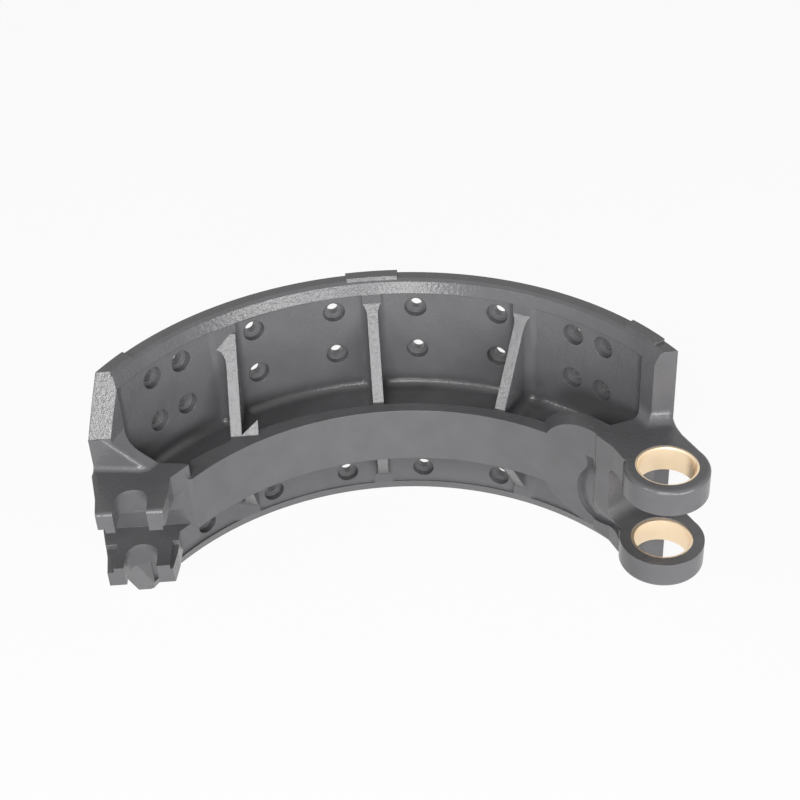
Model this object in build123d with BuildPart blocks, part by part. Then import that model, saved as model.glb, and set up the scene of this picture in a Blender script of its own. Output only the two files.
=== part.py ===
from build123d import *
import os
from math import cos, radians, sin

os.makedirs("parts", exist_ok=True)

# Cast brake shoe of a heavy drum brake. The origin is on the drum axis, half
# way across the shoe. +Z runs along the drum axis and the anchor pin, +Y runs
# from the axis to the middle of the lining table, and the anchor eyes are at
# +X. Angles are measured from +Y, positive towards +X. Millimetres.

# Lining table: a curved plate with a raised band along each rim.
table_r = 192.0
band_r = 180.0
band_edge_r = 183.3
band_z = 76.5
half_width = 85.3
band_edge_bevel = 1.7
end_y = 80.5

# The roller end of the table leans back above this height.
lean_z = 50.0
lean_rise = 36.0
lean_run = 15.8

# Machined pads on the upper side. The lower side is flat.
pad_z = 87.0
pad_r = 184.6
roller_pad = (-67.0, -52.5)
middle_pad = (-5.2, 4.8)
anchor_pad = (53.4, 61.4)

# Pockets on both sides of the web, between the table and the inner flange.
pocket_r = 181.5
pocket_corner_round = 6.2
roller_corner_round = 9.0
anchor_corner_round = 8.5
web_z = 6.0

# Inner flange: the band that closes the pockets towards the drum axis.
flange_z = 19.0
flange_outer_centre = (1.0, -39.4)
flange_outer_r = 179.5
flange_inner_centre = (3.3, -25.0)
flange_inner_r = 156.7
beam_y = 76.0

# Three ribs across the pockets. The first two lie parallel to Y, the third
# is radial.
rib_thickness = 7.0
rib_top_z = 70.0
roller_rib_x = -91.5
middle_rib_x = -1.6
anchor_rib_angle = 30.65
rib_blank = 28.0

# Rivet holes for the lining, counterbored from inside.
rivet_r = 3.8
rivet_head_r = 7.1
rivet_head_depth = 4.8
rivet_rows = (-65.5, -33.5, 33.5, 65.5)
rivet_angles = (-49.15, -41.95, -25.15, -8.3, 8.3, 25.15, 41.95, 49.15)

# Roller fork: two ears with a notch for the cam roller's pin.
roller_ear_z = 28.3
roller_tip_round = 2.5
roller_gap_z = 13.9
roller_gap_y = 74.5
roller_gap_ridge = 3.2
roller_gap_round = 3.5
notch_centre = (-149.3, 47.9)
notch_r = 9.8
rebate = 3.0
rebate_y = 59.0
rebate_x = (-165.0, -131.5)
gusset_z = 50.0
gusset_edge_round = 3.0
gusset_foot_round = 3.5

# Anchor fork: two eyes for the anchor pin, each with a pressed-in bush.
eye_centre = (162.3, 37.3)
eye_r = 25.2
anchor_ear_z = 36.15
anchor_gap_z = 18.85
anchor_gap_top_round = 5.0
anchor_gap_floor_round = 8.0
eye_edge_round = 2.8
ramp_r = 28.0
ramp_x = 100.5
ear_foot_round = 8.0
flute_depth = 2.8
bush_outer_r = 18.5
bush_inner_r = 16.55
bush_recess_out = 0.5
bush_recess_in = 1.0
bush_chamfer = 0.7


def polar(radius, angle):
    return (radius * sin(radians(angle)), radius * cos(radians(angle)))


def section_plane(angle):
    # Plane through the drum axis: local x is the radius, local y is Z.
    x, y = polar(1.0, angle)
    return Plane(origin=(0, 0, 0), x_dir=(x, y, 0), z_dir=(y, -x, 0))


# ---------------------------------------------------------------- table
with BuildPart() as table:
    with BuildSketch(section_plane(67.0)):
        with BuildLine():
            Polyline(
                (table_r, -half_width),
                (table_r, half_width),
                (band_edge_r, half_width),
                (band_r, band_z),
                (band_r, -band_z),
                (band_edge_r, -half_width),
                close=True,
            )
        make_face()
        band_corners = [(band_edge_r, half_width), (band_edge_r, -half_width)]
        chamfer(
            [v for v in vertices() if (round(v.X, 1), round(v.Y, 1)) in band_corners],
            band_edge_bevel,
        )
    revolve(axis=Axis.Z, revolution_arc=134.0)
    for first, last in (roller_pad, middle_pad, anchor_pad):
        with BuildSketch(section_plane(last)):
            with BuildLine():
                Polyline(
                    (table_r, half_width - 1.0),
                    (table_r, pad_z),
                    (pad_r, pad_z),
                    (pad_r - 0.8, half_width - 1.0),
                    close=True,
                )
            make_face()
        revolve(axis=Axis.Z, revolution_arc=last - first)
    # Both ends are cut square to Y.
    with BuildSketch(Plane.XY.offset(-pad_z - 5)):
        with Locations((0, end_y - 50)):
            Rectangle(420, 100)
    extrude(amount=2 * pad_z + 10, mode=Mode.SUBTRACT)
    # The roller end leans back towards both sides.
    with BuildSketch(Plane.YZ.offset(-200)):
        for side in (-1, 1):
            with BuildLine():
                Polyline(
                    (end_y, side * lean_z),
                    (end_y + lean_run * 1.25, side * (lean_z + lean_rise * 1.25)),
                    (end_y - 20, side * (lean_z + lean_rise * 1.25)),
                    (end_y - 20, side * lean_z),
                    close=True,
                )
            make_face()
    extrude(amount=100, mode=Mode.SUBTRACT)

# ----------------------------------------------- web and inner flange blank
with BuildPart() as beam:
    with BuildSketch(Plane.XY.offset(-flange_z)):
        Circle((pocket_r + table_r) / 2)
        with Locations(flange_inner_centre):
            Circle(flange_inner_r, mode=Mode.SUBTRACT)
        with Locations((0, beam_y + 100)):
            Rectangle(400, 200, mode=Mode.INTERSECT)
    extrude(amount=2 * flange_z)

# ------------------------------------------------------------- roller end
# Gussets slope from the end wall down to the ears.
with BuildPart() as gussets:
    with BuildSketch(Plane(origin=(-144, 72.5, 0), x_dir=(-0.802, 0.597, 0), z_dir=(0.597, 0.802, 0))):
        with BuildLine():
            Polyline(
                (0, -roller_ear_z),
                (0, roller_ear_z),
                (gusset_z - roller_ear_z, gusset_z),
                (60, gusset_z),
                (60, -gusset_z),
                (gusset_z - roller_ear_z, -gusset_z),
                close=True,
            )
        make_face()
    extrude(amount=60, both=True)
    with BuildSketch(Plane.XY.offset(-gusset_z)):
        with BuildLine():
            Polyline((-190, 82.5), (-190, 110), (-116, 110), (-124.5, 73.7), close=True)
        make_face()
    extrude(amount=2 * gusset_z, mode=Mode.INTERSECT)
    fillet(edges().filter_by_position(Axis.Y, 77.5, 77.8), gusset_edge_round)

with BuildPart() as roller_end:
    with BuildSketch(Plane.XY.offset(-roller_ear_z)):
        with Locations((-190, 30)):
            Rectangle(80, 80, align=Align.MIN)
    extrude(amount=2 * roller_ear_z)
    add(gussets.part)
    for level in (-roller_ear_z, roller_ear_z):
        ring = edges().filter_by_position(Axis.Z, level - 0.01, level + 0.01)
        foot = ring.filter_by_position(Axis.Y, 70, 109).filter_by_position(Axis.X, -189, -111)
        fillet(foot, gusset_foot_round)
    # Outline of the ears.
    with BuildSketch(Plane.XY.offset(-gusset_z)):
        with BuildLine():
            Polyline(
                (-169, 37),
                (-170.5, 51),
                (-175.1, 73.3),
                (-174.5, end_y),
                (-164.0, 98.0),
                (-150, 97),
                (-136.4, 82.7),
                (-119.6, 79.8),
                (-117.5, 78.5),
                (-127.7, 67.1),
                (-128.1, 52),
                (-130, 37),
                close=True,
            )
        make_face()
    extrude(amount=2 * gusset_z, mode=Mode.INTERSECT)
    tips = edges().filter_by(Axis.X).filter_by_position(Axis.Y, 36.9, 37.1)
    fillet(tips, roller_tip_round)

# ------------------------------------------------------------- anchor end
with BuildPart() as anchor_end:
    with BuildSketch(Plane.XY.offset(-anchor_ear_z)):
        with Locations((ramp_x - 8, 10)):
            Rectangle(105, 110, align=Align.MIN)
    extrude(amount=2 * anchor_ear_z)
    # The inner flange sweeps up to the height of the ears.
    ramp_end = ramp_x + (ramp_r**2 - (ramp_r - anchor_ear_z + flange_z) ** 2) ** 0.5
    with BuildSketch(Plane.XZ.offset(-130)):
        for side in (-1, 1):
            with BuildLine():
                Line((200, 0), (ramp_x - 10, 0))
                Line((ramp_x - 10, 0), (ramp_x - 10, side * flange_z))
                Line((ramp_x - 10, side * flange_z), (ramp_x, side * flange_z))
                RadiusArc((ramp_x, side * flange_z), (ramp_end, side * anchor_ear_z), side * ramp_r)
                Line((ramp_end, side * anchor_ear_z), (200, side * anchor_ear_z))
                Line((200, side * anchor_ear_z), (200, 0))
            make_face()
    extrude(amount=130, mode=Mode.INTERSECT)
    # The end wall of the table flows into the faces of the ears.
    with BuildSketch(Plane.XY.offset(-band_z)):
        with BuildLine():
            wall = ThreePointArc(((band_r**2 - end_y**2) ** 0.5, end_y), polar(band_r, 60.0), polar(band_r, 56.0))
            Polyline(
                wall @ 1,
                ((wall @ 1).X, 120),
                (ramp_x + 97, 120),
                (ramp_x + 97, end_y),
                wall @ 0,
            )
        make_face()
    extrude(amount=2 * band_z)
    for level in (-anchor_ear_z, anchor_ear_z):
        ring = edges().filter_by_position(Axis.Z, level - 0.01, level + 0.01)
        foot = ring.filter_by_position(Axis.Y, end_y - 0.2, 115).filter_by_position(Axis.X, 137, 190)
        fillet(foot, ear_foot_round)
    # Outline of the ears.
    with BuildSketch(Plane.XY.offset(-band_z)):
        with BuildLine():
            Polyline(
                (185.6, 46.5),
                (177.4, 66.6),
                (174.3, end_y),
                (165, 97.5),
                (156, 111.5),
                (140, 118),
                (ramp_x - 8, 118),
                (ramp_x - 8, 99),
                (126, 71),
                (134.3, 57.6),
                (138.7, 45),
                (eye_centre[0], eye_centre[1] - 5),
                close=True,
            )
        make_face()
    extrude(amount=2 * band_z, mode=Mode.INTERSECT)
    with BuildSketch(Plane.XY.offset(-anchor_ear_z)):
        with Locations(flange_inner_centre):
            Circle(flange_inner_r)
        with Locations((75, 40)):
            Rectangle(103, 160, mode=Mode.INTERSECT)
    extrude(amount=2 * anchor_ear_z, mode=Mode.SUBTRACT)
    for level in (-anchor_ear_z, anchor_ear_z):
        rim = edges().filter_by_position(Axis.Z, level - 0.01, level + 0.01)
        fillet(rim.filter_by_position(Axis.Y, 43, 76).filter_by_position(Axis.X, 174, 190), eye_edge_round)

# The eyes: the outer edge of each is rounded.
with BuildPart() as eyes:
    with BuildSketch(Plane.XY.offset(-anchor_ear_z)):
        with Locations(eye_centre):
            Circle(eye_r)
    extrude(amount=2 * anchor_ear_z)
    fillet(edges().filter_by(GeomType.CIRCLE), eye_edge_round)

# ------------------------------------------------------------- rib blanks
with BuildPart() as ribs:
    with BuildSketch(Plane.YZ.offset(roller_rib_x - rib_blank / 2)):
        with BuildLine():
            Polyline((116, 0), (116, flange_z), (155.2, rib_top_z), (158, rib_top_z), (158, 0), close=True)
        make_face()
        mirror(about=Plane.XZ)
    extrude(amount=rib_blank)
    with BuildSketch(Plane.YZ.offset(middle_rib_x - rib_blank / 2)):
        with BuildLine():
            Polyline((142, 0), (142, flange_z), (180, rib_top_z), (185, rib_top_z), (185, 0), close=True)
        make_face()
        mirror(about=Plane.XZ)
    extrude(amount=rib_blank)
    with BuildSketch(section_plane(anchor_rib_angle)):
        with BuildLine():
            Polyline((146, 0), (146, flange_z), (180, rib_top_z), (185, rib_top_z), (185, 0), close=True)
        make_face()
        mirror(about=Plane.XZ)
    extrude(amount=rib_blank / 2, both=True)

# ----------------------------------------------------------- pocket cores
with BuildPart() as cores:
    with BuildSketch(Plane.XY.offset(web_z)):
        Circle(pocket_r)
        with Locations(flange_outer_centre):
            Circle(flange_outer_r, mode=Mode.SUBTRACT)
        # The pocket at the roller end reaches round the end of the flange.
        with BuildLine():
            Polyline((-118.4, 96), (-119.6, 79.8), (-136.4, 82.7), (-135, 100), close=True)
        make_face()
        # The backs of the ears close the pockets at both ends.
        with BuildLine():
            Polyline(
                (-60, 40),
                (-119.6, 79.8),
                (-136.4, 82.7),
                (-175, 87.6),
                (-175, 260),
                (175, 260),
                (175, 91.3),
                (127.5, 76.0),
                (119, 93.5),
                (107, 105.3),
                (60, 40),
                close=True,
            )
        make_face(mode=Mode.INTERSECT)
        with Locations((roller_rib_x, 150), (middle_rib_x, 160)):
            Rectangle(rib_thickness, 100, mode=Mode.SUBTRACT)
        with Locations(Location(polar(160, anchor_rib_angle), -anchor_rib_angle)):
            Rectangle(rib_thickness, 100, mode=Mode.SUBTRACT)
    extrude(amount=band_z - web_z)
    fillet(edges().filter_by(Axis.Z).sort_by(Axis.X)[0], roller_corner_round)
    fillet(edges().filter_by(Axis.Z).sort_by(Axis.X)[-1], anchor_corner_round)
    # Rounded along the web and where the ribs meet the table, sharp at the flange.
    upright = edges().filter_by(Axis.Z).sort_by(Axis.X)[2:-2]
    upright = upright.filter_by(lambda edge: Vector(edge.center().X, edge.center().Y).length > pocket_r - 1)
    floor = faces().filter_by(Plane.XY).group_by(Axis.Z)[0].edges()
    fillet(upright + floor, pocket_corner_round)
    mirror(about=Plane.XY)

# ------------------------------------------------------ gaps of the forks
# The gap between the roller ears ends in a low ridge on the parting line.
with BuildPart() as roller_gap:
    with BuildSketch(Plane.YZ.offset(-190)):
        with BuildLine():
            Polyline(
                (20, -roller_gap_z),
                (roller_gap_y, -roller_gap_z),
                (roller_gap_y - roller_gap_ridge, 0),
                (roller_gap_y, roller_gap_z),
                (20, roller_gap_z),
                close=True,
            )
        make_face()
        fillet(vertices().filter_by_position(Axis.Y, roller_gap_y - 0.1, roller_gap_y + 0.1), roller_gap_round)
    extrude(amount=75)
    # Wider along both edges of the ears.
    with BuildSketch(Plane.XY.offset(-roller_gap_z - rebate)):
        with BuildLine():
            Polyline((-190, rebate_y), (rebate_x[0], rebate_y), (rebate_x[0], 20), (-190, 20), close=True)
        make_face()
        with BuildLine():
            Polyline((-115, rebate_y), (rebate_x[1], rebate_y), (rebate_x[1], 20), (-115, 20), close=True)
        make_face()
    extrude(amount=2 * (roller_gap_z + rebate))

# The gap between the anchor eyes has rounded corners at its root.
with BuildPart() as anchor_gap:
    with BuildSketch(Plane.XY.offset(-anchor_gap_z)):
        with BuildLine():
            Polyline((112, 46.4), (136.8, 62.2), (165, end_y), (205, end_y), (205, 0), (112, 0), close=True)
        make_face()
    extrude(amount=2 * anchor_gap_z)
    for level, size in ((-anchor_gap_z, anchor_gap_floor_round), (anchor_gap_z, anchor_gap_top_round)):
        ring = edges().filter_by_position(Axis.Z, level - 0.01, level + 0.01)
        root = ring.filter_by_position(Axis.Y, 47, 80).filter_by_position(Axis.X, 112.1, 164)
        fillet(root, size)

# A shallow flute runs down the neck beside the gap and out along the lower
# eye. Each station gives its inner edge, its outer edge and how far the
# neck stands out there, in the plane of the neck.
neck = Plane(origin=(126, 71, 0), x_dir=(0.5266, -0.8501, 0), z_dir=(-0.8501, -0.5266, 0))
flute_stations = [
    ((2.4, 16.5), (-8.0, 15.5), 0.3),
    ((3.2, -6.0), (-13.5, -7.0), 0.6),
    ((6.0, -12.5), (-12.3, -20.0), 0.6),
    ((8.5, -15.3), (-9.0, -25.0), 0.4),
    ((12.0, -17.2), (-4.0, -28.0), 0.2),
    ((27.0, -19.5), (27.0, -27.0), 2.0),
]
with BuildPart() as flute:
    for inner, outer, lift in flute_stations:
        start = neck.from_local_coords(Vector(*inner, lift))
        across = neck.from_local_coords(Vector(*outer, lift)) - start
        with BuildSketch(Plane(origin=start, x_dir=across, z_dir=across.cross(neck.z_dir))):
            with BuildLine():
                Polyline((0, 0), (across.length, -flute_depth), (across.length, 4), (0, 4), close=True)
            make_face()
    loft()

# ---------------------------------------------------------------- casting
with BuildPart() as shoe:
    add(table.part)
    add(beam.part)
    add(ribs.part)
    add(roller_end.part)
    add(anchor_end.part)
    add(flute.part, mode=Mode.SUBTRACT)
    add(eyes.part)
    add(cores.part, mode=Mode.SUBTRACT)
    for angle in rivet_angles:
        for row in rivet_rows:
            seat = Plane(origin=(*polar(pocket_r, angle), row), z_dir=(*polar(-1.0, angle), 0))
            with Locations(seat):
                CounterBoreHole(rivet_r, rivet_head_r, rivet_head_depth, 30)
    add(roller_gap.part, mode=Mode.SUBTRACT)
    with BuildSketch(Plane.XY.offset(-roller_ear_z - 1)):
        with Locations(notch_centre):
            Circle(notch_r)
        with Locations((notch_centre[0], notch_centre[1] - 15)):
            Rectangle(2 * notch_r, 30)
    extrude(amount=2 * roller_ear_z + 2, mode=Mode.SUBTRACT)
    add(anchor_gap.part, mode=Mode.SUBTRACT)
    with BuildSketch(Plane.XY.offset(-anchor_ear_z - 1)):
        with Locations(eye_centre):
            Circle(bush_outer_r)
    extrude(amount=2 * anchor_ear_z + 2, mode=Mode.SUBTRACT)
shoe.part.label = "shoe"
export_step(shoe.part, "parts/shoe.step")

# ----------------------------------------------------------------- bushes
bush_low = anchor_gap_z + bush_recess_in
bush_high = anchor_ear_z - bush_recess_out
with BuildPart() as bush_upper:
    with BuildSketch(Plane.XY.offset(bush_low)):
        with Locations(eye_centre):
            Circle(bush_outer_r)
            Circle(bush_inner_r, mode=Mode.SUBTRACT)
    extrude(amount=bush_high - bush_low)
    chamfer(faces().sort_by(Axis.Z)[-1].edges().sort_by(SortBy.RADIUS)[0], bush_chamfer)
bush_upper.part.label = "anchor_bush_upper"
export_step(bush_upper.part, "parts/anchor_bush_upper.step")

with BuildPart() as bush_lower:
    add(bush_upper.part)
    mirror(about=Plane.XY)
    split(bisect_by=Plane.XY, keep=Keep.BOTTOM)
bush_lower.part.label = "anchor_bush_lower"
export_step(bush_lower.part, "parts/anchor_bush_lower.step")
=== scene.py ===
import math
import bpy
from mathutils import Matrix, Vector


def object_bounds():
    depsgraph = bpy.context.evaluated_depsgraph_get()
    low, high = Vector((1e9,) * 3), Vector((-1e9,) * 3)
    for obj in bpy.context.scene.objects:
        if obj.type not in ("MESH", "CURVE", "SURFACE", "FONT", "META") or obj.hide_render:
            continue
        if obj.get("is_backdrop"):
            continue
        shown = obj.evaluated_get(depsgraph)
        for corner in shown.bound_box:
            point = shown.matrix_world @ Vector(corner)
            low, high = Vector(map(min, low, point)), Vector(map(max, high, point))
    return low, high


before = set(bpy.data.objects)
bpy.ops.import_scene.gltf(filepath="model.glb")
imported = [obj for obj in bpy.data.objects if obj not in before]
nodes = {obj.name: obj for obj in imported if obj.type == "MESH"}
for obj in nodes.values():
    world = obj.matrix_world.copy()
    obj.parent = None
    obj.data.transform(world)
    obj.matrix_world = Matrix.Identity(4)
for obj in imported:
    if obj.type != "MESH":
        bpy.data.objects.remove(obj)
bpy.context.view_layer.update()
scene = bpy.context.scene

# Metres. The anchor eyes' common axis, in the plane across the drum's axis.
BORE_AXIS = (0.1623, 0.0373)

# Camera: the point it turns about, its angles, its distances from that point
# and its focal length as a share of the picture's width.
VIEW_CENTRE = Vector((0, 0.150, 0))
YAW, PITCH, ROLL = 0.0141106, 0.6214457, -0.0594736
EYE_BACK, EYE_RIGHT, EYE_UP = 0.9578785, 0.0116445, 0.0123342
FOCAL_SHARE = 1470.0 / 800.0
SENSOR_WIDTH = 36.0

# Floor and backdrop.
FLOOR_HALF = 4.0
FLOOR_DROP = 0.0003
FLOOR_SHADE = 0.86
WHITE_SHARE = 0.94
FILL_LEVEL = 0.03

# Lamps on an arc round the shoe: name, azimuth from the front to the right,
# elevation, width, height, power.
LAMP_CENTRE = Vector((0, 0.12, 0))
LAMP_REACH = 1.5
LAMPS = [
    ("front_box", 28, 7, 1.2, 0.35, 17.0),
    ("end_box", -11, 12, 0.42, 0.36, 9.0),
    ("strip_box", -6, 41, 0.8, 0.28, 11.0),
    ("left_box", -54, 31, 0.34, 0.28, 5.0),
]


# ------------------------------------------------------------ node helpers
def node(tree, kind, at=(0, 0), **values):
    """Adds a node and sets its properties and unlinked inputs by name."""
    n = tree.nodes.new(kind)
    n.location = at
    for key, value in values.items():
        if hasattr(n, key):
            setattr(n, key, value)
        else:
            n.inputs[key.replace("_", " ")].default_value = value
    return n


def empty_material(name):
    """A new node material with only its output node."""
    material = bpy.data.materials.new(name)
    material.use_nodes = True
    material.node_tree.nodes.clear()
    out = node(material.node_tree, "ShaderNodeOutputMaterial", (900, 0))
    return material, material.node_tree, out


def new_group(name, inputs, outputs):
    """A shader node group with float, vector or colour sockets."""
    kinds = {"f": "NodeSocketFloat", "v": "NodeSocketVector", "c": "NodeSocketColor"}
    group = bpy.data.node_groups.new(name, "ShaderNodeTree")
    for label, kind, value in inputs:
        socket = group.interface.new_socket(label, in_out="INPUT", socket_type=kinds[kind])
        if value is not None:
            socket.default_value = value
    for label, kind in outputs:
        group.interface.new_socket(label, in_out="OUTPUT", socket_type=kinds[kind])
    return group, node(group, "NodeGroupInput", (-900, 0)), node(group, "NodeGroupOutput", (900, 0))


# ---------------------------------------------------------- shared effects
def cast_skin_group():
    """Sand-cast skin: fine grains on a soft swell, as a height, and a slow tone."""
    group, src, out = new_group(
        "cast_skin",
        [("Vector", "v", None), ("Grain", "f", 420.0), ("Swell", "f", 60.0), ("Swell Share", "f", 0.25)],
        [("Height", "f"), ("Tone", "f")],
    )
    fine = node(group, "ShaderNodeTexNoise", (-600, 200), Detail=3.0, Roughness=0.6)
    slow = node(group, "ShaderNodeTexNoise", (-600, -100), Detail=2.0, Roughness=0.5)
    blend = node(group, "ShaderNodeMix", (-200, 100))
    link = group.links.new
    link(src.outputs["Vector"], fine.inputs["Vector"])
    link(src.outputs["Grain"], fine.inputs["Scale"])
    link(src.outputs["Vector"], slow.inputs["Vector"])
    link(src.outputs["Swell"], slow.inputs["Scale"])
    link(src.outputs["Swell Share"], blend.inputs[0])
    link(fine.outputs["Fac"], blend.inputs[2])
    link(slow.outputs["Fac"], blend.inputs[3])
    link(blend.outputs[0], out.inputs["Height"])
    link(slow.outputs["Fac"], out.inputs["Tone"])
    return group


def turning_marks_group():
    """Fine turned grooves: rings on faces square to the axis, bands along bores."""
    group, src, out = new_group(
        "turning_marks",
        [("Vector", "v", None), ("Rate", "f", 500.0)],
        [("Height", "f")],
    )
    rings = node(group, "ShaderNodeTexWave", (-500, 150), wave_type="RINGS", rings_direction="Z")
    bands = node(group, "ShaderNodeTexWave", (-500, -150), wave_type="BANDS", bands_direction="Z")
    total = node(group, "ShaderNodeMath", (-150, 0), operation="ADD")
    link = group.links.new
    for wave in (rings, bands):
        link(src.outputs["Vector"], wave.inputs["Vector"])
        link(src.outputs["Rate"], wave.inputs["Scale"])
    link(rings.outputs["Fac"], total.inputs[0])
    link(bands.outputs["Fac"], total.inputs[1])
    link(total.outputs[0], out.inputs["Height"])
    return group


skin = cast_skin_group()
turning = turning_marks_group()


# --------------------------------------------------------------- materials
def painted_casting():
    """Dark grey satin paint over cast skin."""
    material, tree, out = empty_material("painted_casting")
    place = node(tree, "ShaderNodeTexCoord", (-900, 0))
    cast = node(tree, "ShaderNodeGroup", (-650, 0), node_tree=skin)
    tone = node(tree, "ShaderNodeValToRGB", (-350, 150))
    tone.color_ramp.elements[0].position = 0.3
    tone.color_ramp.elements[0].color = (0.096, 0.095, 0.099, 1)
    tone.color_ramp.elements[1].position = 0.7
    tone.color_ramp.elements[1].color = (0.107, 0.105, 0.110, 1)
    worn = node(tree, "ShaderNodeBevel", (-350, -350), samples=6)
    worn.inputs["Radius"].default_value = 0.0005
    bump = node(tree, "ShaderNodeBump", (-100, -250), Strength=0.6, Distance=0.0006)
    paint = node(tree, "ShaderNodeBsdfPrincipled", (300, 0))
    paint.inputs["Roughness"].default_value = 0.24
    paint.inputs["Specular IOR Level"].default_value = 0.45
    link = tree.links.new
    link(place.outputs["Object"], cast.inputs["Vector"])
    link(cast.outputs["Tone"], tone.inputs["Fac"])
    link(cast.outputs["Height"], bump.inputs["Height"])
    link(worn.outputs["Normal"], bump.inputs["Normal"])
    link(tone.outputs["Color"], paint.inputs["Base Color"])
    link(bump.outputs["Normal"], paint.inputs["Normal"])
    link(paint.outputs["BSDF"], out.inputs["Surface"])
    return material


def bushing_bronze():
    """Machined bronze with fine turning marks round the bore."""
    material, tree, out = empty_material("bushing_bronze")
    place = node(tree, "ShaderNodeTexCoord", (-900, 0))
    centred = node(tree, "ShaderNodeMapping", (-700, 0))
    centred.inputs["Location"].default_value = (-BORE_AXIS[0], -BORE_AXIS[1], 0)
    marks = node(tree, "ShaderNodeGroup", (-450, 0), node_tree=turning)
    bump = node(tree, "ShaderNodeBump", (-100, -200), Strength=0.25, Distance=0.00005)
    metal = node(tree, "ShaderNodeBsdfPrincipled", (300, 0))
    metal.inputs["Base Color"].default_value = (0.92, 0.74, 0.52, 1)
    metal.inputs["Metallic"].default_value = 0.85
    metal.inputs["Roughness"].default_value = 0.34
    link = tree.links.new
    link(place.outputs["Object"], centred.inputs["Vector"])
    link(centred.outputs["Vector"], marks.inputs["Vector"])
    link(marks.outputs["Height"], bump.inputs["Height"])
    link(bump.outputs["Normal"], metal.inputs["Normal"])
    link(metal.outputs["BSDF"], out.inputs["Surface"])
    return material


casting = painted_casting()
bronze = bushing_bronze()
for name, obj in nodes.items():
    finish = casting if name == "shoe" else bronze
    for slot in obj.material_slots:
        slot.material = finish
    if not obj.material_slots:
        obj.data.materials.append(finish)


# ------------------------------------------------------------------ camera
ahead = Vector((math.sin(YAW) * math.cos(PITCH), math.cos(YAW) * math.cos(PITCH), -math.sin(PITCH)))
level_right = Vector((math.cos(YAW), -math.sin(YAW), 0.0))
level_up = level_right.cross(ahead)
right = math.cos(ROLL) * level_right + math.sin(ROLL) * level_up
up = math.cos(ROLL) * level_up - math.sin(ROLL) * level_right
eye = VIEW_CENTRE - EYE_BACK * ahead + EYE_RIGHT * right + EYE_UP * up
lens = bpy.data.cameras.new("camera")
lens.sensor_width = SENSOR_WIDTH
lens.lens = FOCAL_SHARE * SENSOR_WIDTH
lens.clip_start = 0.02
lens.clip_end = 30.0
camera = bpy.data.objects.new("camera", lens)
scene.collection.objects.link(camera)
turn = Matrix((right, up, -ahead)).transposed().to_4x4()
camera.matrix_world = Matrix.Translation(eye) @ turn
scene.camera = camera


# -------------------------------------------------------- floor and lights
def shown_rays(tree):
    """One where a camera, glossy or transmission ray arrives, otherwise zero."""
    path = node(tree, "ShaderNodeLightPath", (-700, 250))
    first = node(tree, "ShaderNodeMath", (-480, 250), operation="MAXIMUM")
    both = node(tree, "ShaderNodeMath", (-280, 250), operation="MAXIMUM")
    tree.links.new(path.outputs["Is Camera Ray"], first.inputs[0])
    tree.links.new(path.outputs["Is Glossy Ray"], first.inputs[1])
    tree.links.new(first.outputs[0], both.inputs[0])
    tree.links.new(path.outputs["Is Transmission Ray"], both.inputs[1])
    return both


def pale_floor():
    """A white floor under the shoe that keeps a faint shadow."""
    material, tree, out = empty_material("pale_floor")
    matte = node(tree, "ShaderNodeBsdfDiffuse", (0, 100))
    matte.inputs["Color"].default_value = (FLOOR_SHADE, FLOOR_SHADE, FLOOR_SHADE, 1)
    white = node(tree, "ShaderNodeEmission", (0, -100), Strength=1.0)
    seen = shown_rays(tree)
    share = node(tree, "ShaderNodeMath", (-50, 280), operation="MULTIPLY")
    share.inputs[1].default_value = WHITE_SHARE
    blend = node(tree, "ShaderNodeMixShader", (300, 0))
    link = tree.links.new
    link(seen.outputs[0], share.inputs[0])
    link(share.outputs[0], blend.inputs["Fac"])
    link(matte.outputs[0], blend.inputs[1])
    link(white.outputs[0], blend.inputs[2])
    link(blend.outputs[0], out.inputs["Surface"])
    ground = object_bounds()[0][2] - FLOOR_DROP
    size = FLOOR_HALF
    mesh = bpy.data.meshes.new("floor")
    mesh.from_pydata(
        [(-size, -size, ground), (size, -size, ground), (size, size, ground), (-size, size, ground)],
        [],
        [(0, 1, 2, 3)],
    )
    floor = bpy.data.objects.new("floor", mesh)
    scene.collection.objects.link(floor)
    mesh.materials.append(material)
    floor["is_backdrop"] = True


def studio_world(level):
    """White where it is seen, a dim even fill where it lights."""
    world = bpy.data.worlds.new("studio")
    scene.world = world
    world.use_nodes = True
    tree = world.node_tree
    tree.nodes.clear()
    out = node(tree, "ShaderNodeOutputWorld", (600, 0))
    fill = node(tree, "ShaderNodeBackground", (0, 100), Strength=level)
    fill.inputs["Color"].default_value = (1, 1, 1, 1)
    white = node(tree, "ShaderNodeBackground", (0, -100), Strength=1.0)
    white.inputs["Color"].default_value = (1, 1, 1, 1)
    seen = shown_rays(tree)
    blend = node(tree, "ShaderNodeMixShader", (300, 0))
    link = tree.links.new
    link(seen.outputs[0], blend.inputs["Fac"])
    link(fill.outputs[0], blend.inputs[1])
    link(white.outputs[0], blend.inputs[2])
    link(blend.outputs[0], out.inputs["Surface"])


def softbox(name, azimuth, elevation, width, height, power):
    """A soft lamp on the arc, aimed at the shoe. Angles are in degrees."""
    az, el = math.radians(azimuth), math.radians(elevation)
    away = Vector((math.sin(az) * math.cos(el), -math.cos(az) * math.cos(el), math.sin(el)))
    lamp = bpy.data.lights.new(name, "AREA")
    lamp.shape = "RECTANGLE"
    lamp.size = width
    lamp.size_y = height
    lamp.energy = power
    box = bpy.data.objects.new(name, lamp)
    scene.collection.objects.link(box)
    box.location = LAMP_CENTRE + LAMP_REACH * away
    box.rotation_euler = away.to_track_quat("Z", "Y").to_euler()


pale_floor()
studio_world(FILL_LEVEL)
for lamp_row in LAMPS:
    softbox(*lamp_row)

scene.view_settings.view_transform = "Standard"
